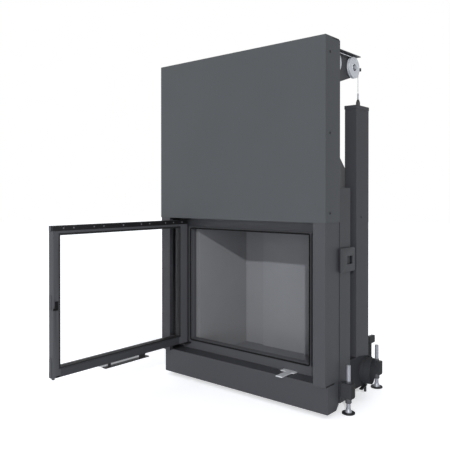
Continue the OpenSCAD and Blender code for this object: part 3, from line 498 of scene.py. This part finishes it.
LOOKS = {
    "casing_paint": (paint, dict(rgb=(49, 51, 54))),
    # The side colours are painted shade on the faces along X of the panel, tubes, columns and feet, and
    # painted light on those of the leaf stiles
    "panel_paint": (paint, dict(rgb=(66, 69, 72), side_shading_rgb=(57, 60, 63))),
    "tube_paint": (paint, dict(rgb=(55, 56, 60), side_shading_rgb=(45, 46, 50))),
    "column_paint": (paint, dict(rgb=(62, 63, 67), side_shading_rgb=(54, 55, 59))),
    "plinth_paint": (paint, dict(rgb=(58, 59, 63))),
    "frame_paint": (paint, dict(rgb=(68, 69, 73))),
    "foot_paint": (paint, dict(rgb=(53, 54, 57), level=0.25, side_shading_rgb=(11, 11, 13))),
    "leaf_paint": (paint, dict(rgb=(67, 68, 72), gloss=0.46)),
    "bottom_rail_paint": (paint, dict(rgb=(51, 52, 56), gloss=0.46)),
    "hinge_stile_paint": (paint, dict(rgb=(45, 46, 49), gloss=0.46, side_shading_rgb=(76, 77, 81))),
    "free_stile_paint": (paint, dict(rgb=(61, 62, 66), gloss=0.46, side_shading_rgb=(69, 70, 74))),
    # Darker than the casing's paint: painted shade on the duct
    "duct_paint": (paint, dict(rgb=(42, 43, 46), gloss=0.7, level=0.1)),
    "black_steel": (paint, dict(rgb=(30, 30, 32), gloss=0.42)),
    "strip_black": (paint, dict(rgb=(21, 21, 23), gloss=0.42)),
    "latch_black": (paint, dict(rgb=(13, 13, 14), gloss=0.42, level=0.2)),
    "zinc": (metal, dict(rgb=(156, 159, 166), rough=0.46, scale=260.0, metallic=0.45)),
    "screw_zinc": (metal, dict(rgb=(112, 114, 119), rough=0.46, scale=260.0, metallic=0.45)),
    "pulley_zinc": (metal, dict(rgb=(183, 186, 192), rough=0.5, scale=240.0, metallic=0.3)),
    "wire_rope": (metal, dict(rgb=(205, 207, 211), rough=0.5, metallic=0.3)),
    "satin_steel": (metal, dict(rgb=(210, 213, 218), rough=0.45, stretch=(1, 14, 14), scale=240.0,
                                metallic=0.4)),
    "grip_steel": (metal, dict(rgb=(222, 224, 228), rough=0.42, stretch=(14, 1, 14), scale=240.0,
                               metallic=0.3)),
    "shoe_brass": (metal, dict(rgb=(88, 78, 56), rough=0.5)),
    "lining_board": (board, dict(rgb=(120, 121, 125))),
    # The side linings' ends along Y are darker: painted shade
    "side_board": (board, dict(rgb=(122, 123, 126), end_shade_rgb=(100, 101, 104))),
    "back_board": (board, dict(rgb=(120, 121, 125), middle_rgb=(122, 124, 128))),
    "seal_rope": (braid, dict(rgb=(20, 20, 21))),
    "pad_rubber": (rubber, dict(rgb=(30, 30, 32))),
    "clear_glass": (glass, {}),
}
MAT = {name: kind(name, **values) for name, (kind, values) in LOOKS.items()}

# Nodes whose looks differ from the rest of their slot
BY_NODE = {
    "column_left": "column_paint",
    "column_right": "column_paint",
    "cover_panel": "panel_paint",
    # Near black on the damper disc: painted shade inside the duct's mouth
    "damper_disc": "latch_black",
    "foot_brackets": "foot_paint",
    "guide_tube_left": "tube_paint",
    "guide_tube_right": "tube_paint",
    "handle_grip": "grip_steel",
    "latch_cam": "latch_black",
    "leaf_bottom_rail": "bottom_rail_paint",
    "leaf_free_stile": "free_stile_paint",
    "leaf_hinge_stile": "hinge_stile_paint",
    "leaf_top_strip": "strip_black",
    "lining_back": "back_board",
    "lining_left": "side_board",
    "lining_right": "side_board",
    "plinth": "plinth_paint",
}
for part in frame["record"]["subparts"]:
    node = frame["nodes"][part["node"]]
    look = MAT[BY_NODE.get(part["node"], part["material_slot"])]
    node.data.materials.clear()
    node.data.materials.append(look)

# Folded and machined edges catch the light, so each node but the glass and the cables gets a
# small edge radius. The flat faces are first joined, so that it runs along whole edges.
SHARP_NODES = ("leaf_glass", "cable_left", "cable_right")
for name, node in frame["nodes"].items():
    if name in SHARP_NODES:
        continue
    weld = node.modifiers.new("weld", "WELD")
    weld.merge_threshold = 1e-5
    flat = node.modifiers.new("flat", "DECIMATE")
    flat.decimate_type = "DISSOLVE"
    flat.angle_limit = math.radians(0.5)
    edge = node.modifiers.new("edge", "BEVEL")
    edge.width = NODE_EDGE * MM
    edge.segments = 2
    edge.limit_method = "ANGLE"
    edge.angle_limit = math.radians(40)
    edge.harden_normals = False


# Pieces

for side, word in SIDES:
    verts, faces = rope(cable_route(side), CABLE_R)
    piece = new_piece("wire_rope_" + word, verts, faces, material=MAT["wire_rope"], sharp_angle=60)
    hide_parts("cable_" + word)

    # The pressed sleeve that ends each cable above its weight
    m = upright(side * PULLEY_X, REAR_AXIS_Y + WRAP_R, EYE_TOP)
    verts, faces = lathe(SLEEVE, steps=28, matrix=m)
    piece = new_piece("cable_sleeve_" + word, verts, faces[:-2], body="weight_" + word,
                      material=MAT["zinc"])

    # Dark bearing shields round the pulley bolts
    for place, y in (("front", FRONT_AXIS_Y), ("rear", REAR_AXIS_Y)):
        m = sideways(side, PULLEY_FACE_X, y, PULLEY_Z)
        verts, faces = lathe(SHIELD, steps=48, matrix=m)
        piece = new_piece("bearing_%s_%s" % (place, word), verts, faces[:-2],
                          body="%s_pulley_%s" % (place, word), material=MAT["black_steel"])

    # Flank screws with a hexagonal recess
    heads = []
    for z in SCREW_HEIGHTS:
        m = sideways(side, HALF_W, SCREW_Y, z)
        heads.append(lathe(SHANK, steps=24, matrix=m))
        heads.append(screw_head(*FLANK_HEAD, m))
    piece = new_piece("flank_screws_" + word, *join(heads), material=MAT["black_steel"])
    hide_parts("cover_screws")

    # Adjusting feet: threaded rods that end in a flared collar, on rubber pads
    rods, pads = [], []
    for x, y in FEET:
        m = upright(side * x, y)
        rods.append(threaded_rod(ROD_R, CONE_TOP - 1, ROD_TOP, m))
        rods.append(lathe(COLLAR, steps=40, matrix=m))
        pads.append(lathe(PAD, steps=56, matrix=m))
    piece = new_piece("threaded_feet_" + word, *join(rods), material=MAT["zinc"], sharp_angle=50)
    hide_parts("foot_rods")
    piece = new_piece("rubber_pads_" + word, *join(pads), material=MAT["pad_rubber"])
    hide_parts("foot_pads")

    # Small screws that hold the weight's tube
    head = screw_head(*TUBE_HEAD, sideways(side, HALF_W, TUBE_SCREW_Y, TUBE_SCREW_Z))
    piece = new_piece("tube_screw_" + word, *head, material=MAT["black_steel"])

    # Black inlays that paint the shade in the flank's gaps
    face = sideways(side, HALF_W, 0, 0)
    gap_shade_prisms = [prism([(z, -side * y) for z, y in outline], low, high, face)
              for outline, low, high in FLANK_SHADE_INLAYS]
    piece = new_piece("flank_gap_shade_" + word, *join(gap_shade_prisms), material=MAT["latch_black"], smooth=False)

# Ten small screws along the leaf's dark strip
heads = []
for share in STRIP_SCREWS:
    place = leaf_at(share * LEAF_W, LEAF_T, (STILE_TOP + LEAF_TOP) / 2)
    heads.append(screw_head(*STRIP_HEAD, frame_to(place, (1, 0, 0), (0, 1, 0))))
piece = new_piece("strip_screw_heads", *join(heads), body="leaf", material=MAT["screw_zinc"])
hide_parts("strip_screws")

# The leaf's free corner, in lengths along the leaf, through it and up
leaf_frame = Matrix(((0, 1, 0), (-1, 0, 0), (0, 0, 1))).to_4x4()
leaf_frame.translation = leaf_at(0, 0, 0)
for name, look, slot, blocks in CORNER_PIECES:
    verts, faces = join([block(low, high, leaf_frame) for low, high in blocks])
    piece = new_piece(name, verts, faces, body="leaf", material=MAT[look], smooth=False)

# The braided rope that seals the door against the frame
verts, faces = rope(seal_route(), SEAL_R, strands=8, lay=14.0, around=24, depth=0.2)
piece = new_piece("braided_seal", verts, faces, material=MAT["seal_rope"], sharp_angle=70)
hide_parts("door_seal")


# Camera, light and floor

# The camera's place is in millimetres of the drawing, and its angles are in degrees
CAMERA_PLACE = (1452.1, -1762, 797)
CAMERA_TILT, CAMERA_TURN = 89.66, 40.35

# The lights and the floor are in metres of the frame
KEY_PLACE, KEY_WAY = (2.6, -3.8, 1.9), (-0.525, 0.772, -0.358)
FILL_PLACE, FILL_TARGET = (2.4, -3.9, 0.5), (0, 0, 0.5)
STUDIO_LEFT, STUDIO_RIGHT = 0.96, 0.54
FLOOR_HALF, FLOOR_GLOW = 14.0, 0.42
WHITE = (1, 1, 1, 1)


def aim(obj, way):
    """Turn a light to shine along a direction."""
    obj.rotation_euler = Vector(way).to_track_quat("-Z", "Y").to_euler()


camera_data = bpy.data.cameras.new("camera")
camera = add_object("camera", camera_data)
camera.location = at(*CAMERA_PLACE)
camera.rotation_euler = (math.radians(CAMERA_TILT), 0, math.radians(CAMERA_TURN))
camera_data.sensor_width = 36
camera_data.lens = 46.16
camera_data.shift_y = -0.0599
camera_data.clip_end = 60
bpy.context.scene.camera = camera

# The key light is low and crisp. It comes from the front right, a third of the way to the side.
sun_data = bpy.data.lights.new("key", "SUN")
sun_data.energy = 1.7
sun_data.angle = math.radians(1.2)
sun = add_object("key", sun_data)
sun.location = KEY_PLACE
aim(sun, KEY_WAY)

# A wide soft light, low and also from the front right, fills the firebox
fill_data = bpy.data.lights.new("fill", "AREA")
fill_data.shape = "DISK"
fill_data.size = 2.6
fill_data.energy = 80
fill = add_object("fill", fill_data)
fill.location = FILL_PLACE
aim(fill, Vector(FILL_TARGET) - fill.location)
fill.visible_camera = False

# The studio is white where it is seen. Its light is weaker on the right, towards +X.
world = bpy.data.worlds.new("studio")
bpy.context.scene.world = world
n = Nodes(world, "Background")
way = n.add("ShaderNodeSeparateXYZ", {"Vector": n.coords["Generated"]}).outputs
studio = n.span(way["X"], STUDIO_LEFT, STUDIO_RIGHT, -1.0, 1.0)
n.set(Color=WHITE, Strength=n.span(n.seen(), studio, 1.0))

floor_mesh = bpy.data.meshes.new("floor")
corners = [(x * FLOOR_HALF, y * FLOOR_HALF, 0) for x, y in ((-1, -1), (1, -1), (1, 1), (-1, 1))]
floor_mesh.from_pydata(corners, [], [(0, 1, 2, 3)])
floor = add_object("floor", floor_mesh)
n = new_look("floor")
floor_mesh.materials.append(n.set(
    Base_Color=(0.86, 0.88, 0.92, 1), Roughness=0.9, Specular_IOR_Level=0.0, Emission_Color=WHITE,
    Emission_Strength=n.span(n.seen(), 0.0, FLOOR_GLOW)))

view = bpy.context.scene.view_settings
view.view_transform = "Standard"
